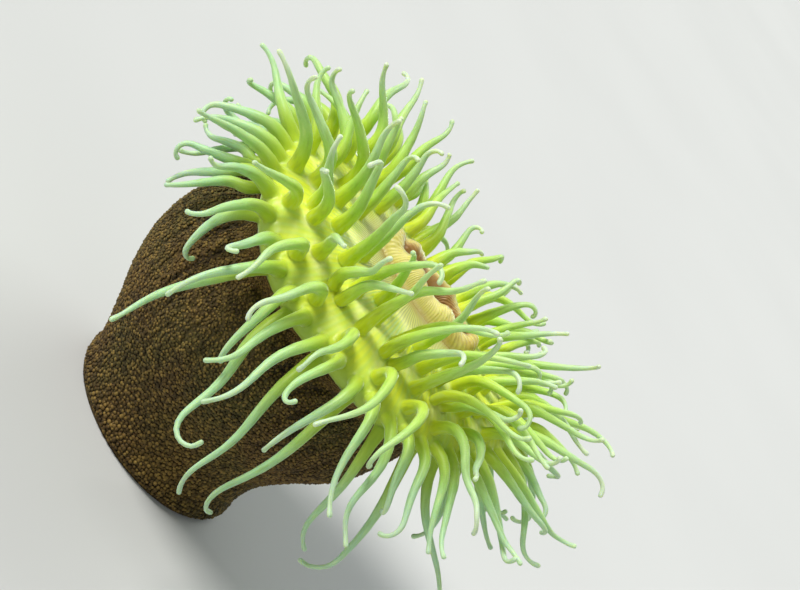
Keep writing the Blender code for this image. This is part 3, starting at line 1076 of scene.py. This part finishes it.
@dataclass
class Warts:
    """The small round warts that cover the column, as joined solid domes."""

    form: SkinForm
    seed: int = 5
    pieces: int = 5
    low_gap: float = 2.2
    high_gap: float = 1.15
    first: float = 0.35
    last: float = 9.2
    sunk: float = 0.3
    row_share: float = 0.87
    jitter: float = 0.42
    around_span: float = 450 * MM
    level_span: float = 19 * MM
    widths: tuple[float, float] = (0.46, 0.72)
    heights: tuple[float, float] = (0.65, 1.05)
    patch: float = 0.003
    probe: float = 0.001

    def dome(self) -> tuple[np.ndarray, list[tuple[int, ...]]]:
        """One wart as a closed dome.

        Returns:
            Its corners, a unit wide and high, and its faces.
        """
        mesh = bmesh.new()
        bmesh.ops.create_uvsphere(mesh, u_segments=8, v_segments=4, radius=1.0)
        everything = mesh.verts[:] + mesh.edges[:] + mesh.faces[:]
        bmesh.ops.bisect_plane(
            mesh, geom=everything, plane_co=(0, 0, 0), plane_no=(0, 0, 1), clear_inner=True
        )
        bmesh.ops.remove_doubles(mesh, verts=mesh.verts[:], dist=1e-4)
        bmesh.ops.holes_fill(mesh, edges=mesh.edges[:], sides=0)
        bmesh.ops.recalc_face_normals(mesh, faces=mesh.faces[:])
        mesh.verts.index_update()
        corners = np.array([tuple(vert.co) for vert in mesh.verts])
        faces = [tuple(vert.index for vert in face.verts) for face in mesh.faces]
        mesh.free()
        return corners, faces

    def seats(self) -> tuple[np.ndarray, np.ndarray, np.ndarray]:
        """Places, levels and gaps of all the warts, in staggered rows up the column.

        Returns:
            One place, one level and one gap in metres for each wart.
        """
        fine = np.linspace(self.first, self.last, 2001)
        run = reached(self.form.points(np.full_like(fine, UNWRAP_PLACE), fine))
        gap = np.interp(fine, (self.first, self.last), (self.low_gap, self.high_gap)) * MM
        count = np.concatenate([[0], np.cumsum(np.diff(run) / (self.row_share * gap[1:]))])
        rows = np.interp(np.arange(int(count[-1])) + 0.5, count, fine)
        places, levels, gaps = [], [], []
        for number, level in enumerate(rows):
            gap_here = float(np.interp(level, fine, gap))
            radius = float(self.form.body.outline(np.array(level))[0]) * MM
            around = int(math.tau * radius / gap_here)
            places.append((np.arange(around) + 0.5 * (number % 2)) / around)
            levels.append(np.full(around, level))
            gaps.append(np.full(around, gap_here))
        return np.concatenate(places), np.concatenate(levels), np.concatenate(gaps)

    def build(self) -> list[bpy.types.Object]:
        """Make the warts.

        Returns:
            A few objects of many warts each.
        """
        corners, faces = self.dome()
        places, levels, gaps = self.seats()
        count = len(places)
        dice = np.random.default_rng(self.seed)
        strays = dice.uniform(-self.jitter, self.jitter, (2, count)) * gaps
        places = places + strays[0] / self.around_span
        levels = np.clip(levels + strays[1] / self.level_span, self.first, self.last)
        centres = self.form.points(places, levels)
        around, upward = spans(self.form.points, places, levels, self.probe)
        normal = np.cross(around, upward)
        normal /= np.linalg.norm(normal, axis=1)[:, None]
        around /= np.linalg.norm(around, axis=1)[:, None]
        other = np.cross(normal, around)
        wide = gaps * dice.uniform(*self.widths, count)
        high = wide * dice.uniform(*self.heights, count)
        turn = dice.uniform(0, math.tau, count)
        across = np.cos(turn)[:, None] * around + np.sin(turn)[:, None] * other
        along = np.cross(normal, across)
        spots = (
            centres[:, None]
            - normal[:, None] * self.sunk * MM
            + across[:, None] * (corners[None, :, :1] * wide[:, None, None])
            + along[:, None] * (corners[None, :, 1:2] * wide[:, None, None])
            + normal[:, None] * (corners[None, :, 2:] * (high + self.sunk * MM)[:, None, None])
        )
        tones = dice.uniform(0, 1, count)
        # The folds' depth, kept on the warts as the mask of the painted shade in the folds.
        folds = self.form.fold(places, levels)
        spread = (levels - self.first) / (self.last - self.first)
        seats = np.stack([np.remainder(places, 1.0), 0.02 + 0.96 * spread], 1)
        made = []
        order = np.argsort(np.remainder(places, 1.0), kind="stable")
        for number, mine in enumerate(np.array_split(order, self.pieces)):
            marks = {"tone": tones[mine], "fold": folds[mine], "level": levels[mine]}
            name = f"warts_{number + 1}"
            made.append(self.joined(name, spots[mine], corners, faces, marks, seats[mine]))
        return made

    def joined(
        self,
        name: str,
        spots: np.ndarray,
        corners: np.ndarray,
        faces: list[tuple[int, ...]],
        marks: dict[str, np.ndarray],
        seats: np.ndarray,
    ) -> bpy.types.Object:
        """Join many warts into one object.

        Args:
            name: the object's name.
            spots: every wart's corners.
            corners: the dome's corners.
            faces: the dome's faces.
            marks: named numbers for every wart, which its finish reads.
            seats: every wart's place on the unwrap of the column.

        Returns:
            The object.
        """
        count, each = spots.shape[:2]
        all_faces = [
            tuple(corner + each * number for corner in face)
            for number in range(count)
            for face in faces
        ]
        data = bpy.data.meshes.new(name)
        data.from_pydata(spots.reshape(-1, 3).tolist(), [], all_faces)
        values = {mark: np.repeat(marks[mark], each) for mark in marks}
        values["top"] = np.tile(corners[:, 2], count)
        for mark, numbers in values.items():
            layer = data.attributes.new(mark, "FLOAT", "POINT")
            layer.data.foreach_set("value", numbers.astype(np.float32))
        unwrap = data.uv_layers.new(name=UNWRAP)
        corner_of = np.empty(len(data.loops), int)
        data.loops.foreach_get("vertex_index", corner_of)
        flat = corners[corner_of % each, :2] * self.patch / 2
        unwrap.data.foreach_set("uv", (seats[corner_of // each] + flat).ravel().astype(np.float32))
        return placed_object(name, data)


# ---------------------------------------------------------------- finishes


class Bench:
    """A material's node tree, to which expressions add their nodes."""

    def __init__(self, name: str) -> None:
        """Start a Principled material of this name."""
        self.material = bpy.data.materials.new(name)
        self.material.use_nodes = True
        self.tree = self.material.node_tree
        self.shader = self.tree.nodes["Principled BSDF"]

    def node(self, kind: str, settings: dict[str, Any], inputs: dict[Any, Any]) -> bpy.types.Node:
        """Add a node.

        Args:
            kind: the node's type.
            settings: its settings, which are made first. "stops" fills a colour ramp.
            inputs: values or links of its sockets, by name or number.

        Returns:
            The node.
        """
        made = self.tree.nodes.new(kind)
        for name, value in settings.items():
            if name == "stops":
                ramp = made.color_ramp
                while len(ramp.elements) < len(value):
                    ramp.elements.new(0.5)
                for element, (place, colour) in zip(ramp.elements, value):
                    element.position = place
                    element.color = (*colour, 1.0)
            else:
                setattr(made, name, value)
        for name, value in inputs.items():
            self.feed(made.inputs[name], value)
        return made

    def feed(self, socket: bpy.types.NodeSocket, value: Any) -> None:
        """Link a wire to a socket, or set the socket's own value.

        Args:
            socket: the socket to feed.
            value: a wire, a link, a colour or a number.
        """
        if isinstance(value, Wire):
            self.tree.links.new(value.socket, socket)
        elif isinstance(value, bpy.types.NodeSocket):
            self.tree.links.new(value, socket)
        elif isinstance(value, tuple) and len(value) == 3 and socket.type == "RGBA":
            socket.default_value = (*value, 1.0)
        else:
            socket.default_value = value

    def attribute(self, name: str) -> "Wire":
        """A number that the mesh carries."""
        node = self.node("ShaderNodeAttribute", {"attribute_name": name}, {})
        return Wire(self, node.outputs["Fac"])

    def vector(self, name: str) -> bpy.types.NodeSocket:
        """A vector that the mesh carries."""
        return self.node("ShaderNodeAttribute", {"attribute_name": name}, {}).outputs["Vector"]

    def place(self) -> bpy.types.NodeSocket:
        """The point of the surface, in metres."""
        return self.node("ShaderNodeTexCoord", {}, {}).outputs["Object"]

    def noise(self, scale: float, detail: float = 2.0, place: Any = None) -> "Wire":
        """Soft noise over the surface, from 0 to 1.

        Args:
            scale: how fine it is, for each metre.
            detail: how many finer layers it has.
            place: where to read it, or none for the surface's own point.

        Returns:
            The noise.
        """
        inputs = {
            "Vector": self.place() if place is None else place,
            "Scale": scale,
            "Detail": detail,
        }
        return Wire(self, self.node("ShaderNodeTexNoise", {}, inputs).outputs["Fac"])

    def ramp(self, value: "Wire", stops: tuple) -> bpy.types.NodeSocket:
        """A colour for each value, from a list of places and colours."""
        settings = {"stops": stops}
        return self.node("ShaderNodeValToRGB", settings, {"Fac": value}).outputs["Color"]

    def mix(self, share: Any, one: Any, other: Any) -> bpy.types.NodeSocket:
        """Blend two colours."""
        inputs = {0: share, 6: one, 7: other}
        return self.node("ShaderNodeMix", {"data_type": "RGBA"}, inputs).outputs[2]

    def bump(self, height: "Wire", strength: float, distance: float) -> bpy.types.NodeSocket:
        """A bump from a height in units of the distance."""
        inputs = {"Height": height, "Strength": strength, "Distance": distance}
        return self.node("ShaderNodeBump", {}, inputs).outputs["Normal"]

    def finish(self, varied: dict[str, Any], settings: dict[str, Any]) -> bpy.types.Material:
        """Set the shader's inputs.

        Args:
            varied: what varies over the surface, by input.
            settings: the constant values, by input.

        Returns:
            The finished material.
        """
        for name, value in (varied | settings).items():
            self.feed(self.shader.inputs[name], value)
        return self.material


class Wire:
    """A number that varies over a surface. Its operators add Math nodes."""

    def __init__(self, bench: Bench, socket: bpy.types.NodeSocket) -> None:
        """Wrap an output socket."""
        self.bench = bench
        self.socket = socket

    def maths(self, operation: str, *values: Any) -> "Wire":
        """The result of a Math node on these values."""
        inputs = dict(enumerate(values))
        node = self.bench.node("ShaderNodeMath", {"operation": operation}, inputs)
        return Wire(self.bench, node.outputs[0])

    def __add__(self, other: Any) -> "Wire":
        """This plus the other."""
        return self.maths("ADD", self, other)

    def __radd__(self, other: Any) -> "Wire":
        """The other plus this."""
        return self.maths("ADD", other, self)

    def __sub__(self, other: Any) -> "Wire":
        """This less the other."""
        return self.maths("SUBTRACT", self, other)

    def __rsub__(self, other: Any) -> "Wire":
        """The other less this."""
        return self.maths("SUBTRACT", other, self)

    def __mul__(self, other: Any) -> "Wire":
        """This times the other."""
        return self.maths("MULTIPLY", self, other)

    def __rmul__(self, other: Any) -> "Wire":
        """The other times this."""
        return self.maths("MULTIPLY", other, self)

    def sine(self) -> "Wire":
        """The sine, from -1 to 1."""
        return self.maths("SINE", self)

    def step(self, low: float, high: float) -> "Wire":
        """A smooth step from 0 at low to 1 at high."""
        settings = {"interpolation_type": "SMOOTHSTEP"}
        inputs = {"Value": self, "From Min": low, "From Max": high}
        return Wire(self.bench, self.bench.node("ShaderNodeMapRange", settings, inputs).outputs[0])


@dataclass(frozen=True)
class ColumnFinish:
    """Olive-brown flesh with warm orange patches, painted light on its warmer, lighter top, and
    painted shade on its darker foot and in its folds.
    """

    dark: Colour = (0.018, 0.011, 0.003)
    brown: Colour = (0.136, 0.080, 0.018)
    olive: Colour = (0.100, 0.082, 0.015)
    warm: Colour = (0.240, 0.130, 0.022)

    def colour(self, bench: Bench) -> bpy.types.NodeSocket:
        """The column's markings, the same on its skin and on its warts.

        Args:
            bench: the material's bench.

        Returns:
            The colour.
        """
        broad = bench.noise(22.0, 3.0)
        fine = bench.noise(140.0, 4.0)
        patchy = bench.mix(broad.step(0.38, 0.62), self.brown, self.olive)
        mottled = bench.mix(fine.step(0.35, 0.75) * 0.55, patchy, self.dark)
        blush = bench.noise(9.0, 2.0).step(0.5, 0.72)
        blushed = bench.mix(blush * 0.6, mottled, self.warm)
        level = bench.attribute("level")
        # Painted light: the column's top is painted warmer and lighter, as where the light falls on
        # it.
        top_painted_light = bench.mix(level.step(7.2, 9.2) * 0.5, blushed, self.warm)
        # Painted shade: the foot is painted darker, as the shade that falls low on the column.
        foot_painted_shade = bench.mix((1 - level.step(0.0, 5.0)) * 0.4, top_painted_light, self.dark)
        # Painted shade: the folds are painted darker, as the shade inside a crease.
        return bench.mix(bench.attribute("fold").step(0.1, 0.6) * 0.8, foot_painted_shade, self.dark)


@dataclass(frozen=True)
class WartFinish:
    """The column's colours, with each wart's own tone and painted shade in the darker gaps between
    them.
    """

    column: ColumnFinish = ColumnFinish()
    lit: Colour = (0.36, 0.235, 0.055)

    def material(self) -> bpy.types.Material:
        """Make the material.

        Returns:
            The material.
        """
        bench = Bench("column warts")
        tone = bench.attribute("tone")
        top = bench.attribute("top")
        base = self.column.colour(bench)
        cluster = tone * 0.4 + bench.noise(260.0, 2.0) * 0.6
        lit = bench.mix(cluster.step(0.42, 0.75) * 0.5, base, self.lit)
        dull = bench.mix((1 - cluster.step(0.25, 0.52)) * 0.4, lit, self.column.dark)
        # Painted shade: each wart darkens towards its base, as shade falls in the gaps between
        # warts.
        shaded = bench.mix((1 - top.step(0.25, 0.95)) * 0.9, dull, self.column.dark)
        varied = {"Base Color": shaded, "Roughness": 0.50 + bench.noise(300.0) * 0.2}
        settings = {
            "Subsurface Weight": 0.12,
            "Subsurface Radius": (1.0, 0.45, 0.2),
            "Subsurface Scale": 0.0015,
            "Specular IOR Level": 0.22,
        }
        return bench.finish(varied, settings)


@dataclass(frozen=True)
class SkinFinish:
    """Yellow-green, translucent flesh with pale tips, over a brown column and cream lips."""

    column: ColumnFinish = ColumnFinish()
    border: float = 9.25
    sheen: float = 0.9
    middle: float = 0.0165
    ring_gap: float = 0.68 * MM
    rays: int = 150
    broad_rays: int = 19
    pleats: int = 110
    shaded: Colour = (0.34, 0.50, 0.055)
    cool: Colour = (0.31, 0.58, 0.36)
    streak: Colour = (0.62, 0.76, 0.30)
    dark_streak: Colour = (0.26, 0.38, 0.06)
    pale_ring: Colour = (0.66, 0.80, 0.45)
    disc_yellow: tuple[Colour, Colour] = ((0.68, 0.76, 0.045), (0.58, 0.74, 0.11))
    disc_green: tuple[Colour, Colour] = ((0.38, 0.60, 0.11), (0.46, 0.72, 0.26))
    disc_olive: tuple[Colour, Colour] = ((0.56, 0.56, 0.16), (0.24, 0.24, 0.05))
    disc_painted_highlight: Colour = (0.82, 0.85, 0.36)
    disc_brown: Colour = (0.40, 0.24, 0.06)
    lips_cream: tuple[Colour, Colour] = ((0.73, 0.66, 0.22), (0.58, 0.44, 0.10))
    lips_line: Colour = (0.42, 0.27, 0.07)
    lips_inside: Colour = (0.30, 0.13, 0.03)
    throat: Colour = (0.28, 0.10, 0.035)
    tentacle_stops: tuple = (
        (0.0, (0.64, 0.70, 0.025)),
        (0.15, (0.54, 0.69, 0.040)),
        (0.38, (0.43, 0.67, 0.100)),
        (0.62, (0.42, 0.65, 0.23)),
        (0.88, (0.46, 0.65, 0.42)),
        (1.0, (0.58, 0.71, 0.54)),
    )

    def ring_wave(self, bench: Bench) -> Wire:
        """The fine rings along a tentacle, as a wave from -1 to 1."""
        run = bench.attribute("run") * (math.tau / self.ring_gap)
        return (run + bench.noise(120.0) * 4).sine()

    def ray_wave(self, bench: Bench, turn: Wire) -> Wire:
        """The fine rays of the disc, as a wave from -1 to 1."""
        return (turn * self.rays + bench.noise(26.0, 3.0) * 8).sine()

    def pleat_wave(self, bench: Bench, turn: Wire) -> Wire:
        """The pleats of the lips, as a wave from -1 to 1."""
        return (turn * self.pleats + bench.noise(30.0) * 7).sine()

    def tentacles(self, bench: Bench) -> bpy.types.NodeSocket:
        """Lemon yellow at the root, through green to whitish tips, with fine pale rings.

        Args:
            bench: the material's bench.

        Returns:
            The tentacles' colour.
        """
        along = bench.attribute("along")
        tint = bench.attribute("tint")
        lower = 1 - bench.attribute("level").step(10.2, 12.6)
        shifted = along * 0.97 + ((tint - 0.45) * 0.30 + lower * 0.16) * along.step(0.0, 0.3)
        colour = bench.ramp(shifted, self.tentacle_stops)
        colour = bench.mix(lower * along.step(0.05, 0.5) * 0.6, colour, self.cool)
        streaks = bench.noise(1.7, 3.0, bench.vector("spin"))
        colour = bench.mix(streaks.step(0.50, 0.72) * 0.38, colour, self.streak)
        colour = bench.mix((1 - streaks.step(0.30, 0.50)) * 0.38, colour, self.dark_streak)
        rings = self.ring_wave(bench).step(0.1, 1.0)
        speckle = bench.noise(900.0, 3.0).step(0.5, 0.8)
        pale = (rings * 0.09 + speckle * 0.14) * along.step(0.05, 0.35)
        ringed = bench.mix(pale, colour, self.pale_ring)
        return bench.mix(lower * (1 - along.step(0.1, 0.5)) * 0.75, ringed, self.shaded)

    def disc(self, bench: Bench, turn: Wire, level: Wire) -> bpy.types.NodeSocket:
        """Yellow and green rays from the lips to the tentacles, browner near the lips.

        Args:
            bench: the material's bench.
            turn: the direction from the crown's middle.
            level: the skin's level.

        Returns:
            The disc's colour.
        """
        rays = self.ray_wave(bench, turn).step(-0.3, 0.9)
        rays = rays * (0.35 + level.step(13.4, 14.6) * 0.65)
        broad = (turn * self.broad_rays + bench.noise(26.0, 3.0) * 5).sine().step(-0.6, 0.8)
        yellow = bench.mix(broad * 0.6, *self.disc_yellow)
        green = bench.mix(broad, *self.disc_green)
        rayed = bench.mix(rays * level.step(9.4, 12.6) * 0.7, yellow, green)
        # Painted highlight: pale cream blotches on the disc among the tentacles.
        pale = bench.noise(70.0, 3.0).step(0.45, 0.62) * level.step(11.5, 13.0)
        rayed = bench.mix(pale * 0.6, rayed, self.disc_painted_highlight)
        olive = bench.mix(rays * 0.75, *self.disc_olive)
        rayed = bench.mix((1 - level.step(10.2, 12.4)) * 0.8, rayed, self.shaded)
        outer = bench.mix(level.step(14.5, 15.3) * 0.85, rayed, olive)
        return bench.mix(level.step(15.5, 16.0) * 0.7, outer, self.disc_brown)

    def lips(self, bench: Bench, turn: Wire, level: Wire) -> bpy.types.NodeSocket:
        """Cream lips with orange-brown pleats.

        Args:
            bench: the material's bench.
            turn: the direction from the crown's middle.
            level: the skin's level.

        Returns:
            The lips' colour.
        """
        pleats = self.pleat_wave(bench, turn).step(0.0, 1.0)
        cream = bench.mix(bench.noise(42.0, 3.0).step(0.50, 0.70), *self.lips_cream)
        faint = bench.noise(55.0, 2.0).step(0.35, 0.65)
        lined = bench.mix(pleats * faint * 0.35, cream, self.lips_line)
        # The lips' inner slope is brown, partly its own colour and partly painted shade on the side
        # turned into the mouth.
        return bench.mix(level.step(16.48, 16.72) * 0.85, lined, self.lips_inside)

    def dress(self, skin: bpy.types.Object) -> None:
        """Give the skin its finish, with a soft sheen on the crown alone.

        Args:
            skin: the skin's object.
        """
        skin.data.materials.append(self.material("anemone crown", self.sheen))
        skin.data.materials.append(self.material("anemone column", 0.0))
        levels = skin.data.attributes["level"].data
        for face in skin.data.polygons:
            highest = max(levels[corner].value for corner in face.vertices)
            face.material_index = int(highest < self.border)

    def material(self, name: str, sheen: float) -> bpy.types.Material:
        """Make the skin's material.

        Args:
            name: the material's name.
            sheen: how much sheen it has.

        Returns:
            The material.
        """
        bench = Bench(name)
        level = bench.attribute("level")
        along = bench.attribute("along")
        split = bench.node("ShaderNodeSeparateXYZ", {}, {0: bench.place()})
        across, deep = Wire(bench, split.outputs[0]), Wire(bench, split.outputs[1])
        turn = deep.maths("ARCTAN2", deep, across - self.middle)
        crown = self.disc(bench, turn, level)
        grown = bench.mix(along.step(0.0, 0.04), crown, self.tentacles(bench))
        fleshy = bench.mix(level.step(9.0, 9.5), self.column.colour(bench), grown)
        lips = self.lips(bench, turn, level)
        whole = bench.mix(level.step(15.9, 16.12), fleshy, lips)
        whole = bench.mix(level.step(17.0, 17.5), whole, self.throat)
        rough = (1 - level.step(9.0, 9.5)) * 0.35
        rings = self.ring_wave(bench) * along.step(0.02, 0.2)
        rays = self.ray_wave(bench, turn) * level.step(9.4, 10.4)
        rays = rays * (0.45 + level.step(13.6, 14.8) * 0.55)
        rays = rays * (1 - level.step(15.9, 16.1)) * (1 - along.step(0.0, 0.02))
        pleats = self.pleat_wave(bench, turn) * level.step(15.9, 16.2)
        height = rings * 0.22 + rays * 1.2 + pleats * 1.5 + bench.noise(420.0, 3.0)
        varied = {
            "Base Color": whole,
            "Roughness": 0.30 + bench.noise(180.0, 3.0) * 0.22 + rough,
            "Normal": bench.bump(height, 0.55, 0.16 * MM),
        }
        settings = {
            "Subsurface Weight": 0.6,
            "Subsurface Radius": (1.0, 0.9, 0.25),
            "Subsurface Scale": 0.005,
            "Specular IOR Level": 0.35,
            "Sheen Weight": sheen,
            "Sheen Roughness": 0.22,
            "Sheen Tint": (0.85, 1.0, 0.85, 1.0),
        }
        return bench.finish(varied, settings)


@dataclass(frozen=True)
class FloorFinish:
    """A plain, pale studio floor."""

    pale: Colour = (0.60, 0.61, 0.60)

    def material(self) -> bpy.types.Material:
        """Make the material.

        Returns:
            The material.
        """
        bench = Bench("studio floor")
        tone = bench.noise(3.0).step(0.3, 0.7)
        shade = tuple(0.97 * part for part in self.pale)
        varied = {"Base Color": bench.mix(tone, self.pale, shade)}
        return bench.finish(varied, {"Roughness": 0.8})


# ---------------------------------------------------------------- studio


@dataclass(frozen=True)
class Lamp:
    """A broad soft light from far away, which lights the whole floor evenly."""

    name: str
    direction: tuple[float, float, float]
    breadth: float
    strength: float
    colour: Colour = (1.0, 1.0, 1.0)

    def build(self) -> None:
        """Hang the light."""
        light = bpy.data.lights.new(self.name, "SUN")
        light.angle = math.radians(self.breadth)
        light.energy = self.strength
        light.color = self.colour
        made = bpy.data.objects.new(self.name, light)
        outward = Vector(self.direction).normalized()
        turn = outward.to_track_quat("Z", "Y").to_matrix().to_4x4()
        made.matrix_world = Matrix.Translation(outward) @ turn
        bpy.context.scene.collection.objects.link(made)


@dataclass(frozen=True)
class Studio:
    """The floor, the lights and the camera."""

    target: tuple[float, float, float] = (0.0132, 0.0, 0.1446)
    distance: float = 0.95
    elevation: float = math.radians(20)
    roll: float = math.radians(56)
    lens: float = 92.3
    sensor: float = 36.0
    farthest: float = 60.0
    floor_size: float = 30.0
    sky: Colour = (0.93, 0.96, 1.0)
    sky_strength: float = 0.27
    lamps: tuple[Lamp, ...] = (
        Lamp("key light", (-0.80, -0.30, 0.78), 24.0, 3.75, (1.0, 0.98, 0.94)),
        Lamp("fill light", (0.75, -0.75, 0.45), 60.0, 0.3, (0.92, 0.97, 1.0)),
        Lamp("back light", (0.15, 0.9, 0.75), 45.0, 1.1, (0.95, 1.0, 0.97)),
    )

    def floor(self) -> None:
        """Lay the floor."""
        mesh = bmesh.new()
        bmesh.ops.create_grid(mesh, x_segments=4, y_segments=4, size=self.floor_size / 2)
        made = finished("studio_floor", mesh)
        made.data.materials.append(FloorFinish().material())

    def world(self) -> None:
        """Set the soft light from all sides."""
        world = bpy.data.worlds.new("soft light")
        world.use_nodes = True
        ground = world.node_tree.nodes["Background"]
        ground.inputs["Color"].default_value = (*self.sky, 1.0)
        ground.inputs["Strength"].default_value = self.sky_strength
        bpy.context.scene.world = world

    def camera(self) -> None:
        """Place the camera, turned about its own axis as the animal leans in its view."""
        data = bpy.data.cameras.new("camera")
        data.lens = self.lens
        data.sensor_width = self.sensor
        data.clip_end = self.farthest
        made = bpy.data.objects.new("camera", data)
        back = Vector((0.0, -math.cos(self.elevation), math.sin(self.elevation)))
        level = Vector((1.0, 0.0, 0.0))
        upward = Vector((0.0, math.sin(self.elevation), math.cos(self.elevation)))
        right = level * math.cos(self.roll) + upward * math.sin(self.roll)
        above = upward * math.cos(self.roll) - level * math.sin(self.roll)
        turn = Matrix((right, above, back)).transposed().to_4x4()
        where = Vector(self.target) + back * self.distance
        made.matrix_world = Matrix.Translation(where) @ turn
        bpy.context.scene.collection.objects.link(made)
        bpy.context.scene.camera = made

    def build(self) -> None:
        """Set up the studio, which shows colours as they are."""
        bpy.context.scene.view_settings.view_transform = "Standard"
        self.floor()
        self.world()
        self.camera()
        for lamp in self.lamps:
            lamp.build()


# ---------------------------------------------------------------- the whole animal


def report(piece: bpy.types.Object) -> None:
    """Log a piece's name and size."""
    triangles = sum(len(face.vertices) - 2 for face in piece.data.polygons)
    LOG.info("%s: %d triangles", piece.name, triangles)


def main() -> None:
    """Build the animal's looks and the studio round its solids."""
    logging.basicConfig(level=logging.INFO, format="%(name)s: %(message)s")
    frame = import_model()
    body = BodyForm()
    form = SkinForm(body, LipsForm())
    grower = TentacleGrower(body)
    tentacles = grower.grow()
    LOG.info("%d tentacles", len(tentacles))
    skin = Skin(form, grower, tentacles).build()
    SkinFinish().dress(skin)
    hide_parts(*frame["nodes"])
    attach(skin, "root")
    report(skin)
    coat = WartFinish().material()
    for piece in Warts(form).build():
        piece.data.materials.append(coat)
        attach(piece, "root")
        report(piece)
    Studio().build()


if __name__ == "__main__":
    main()
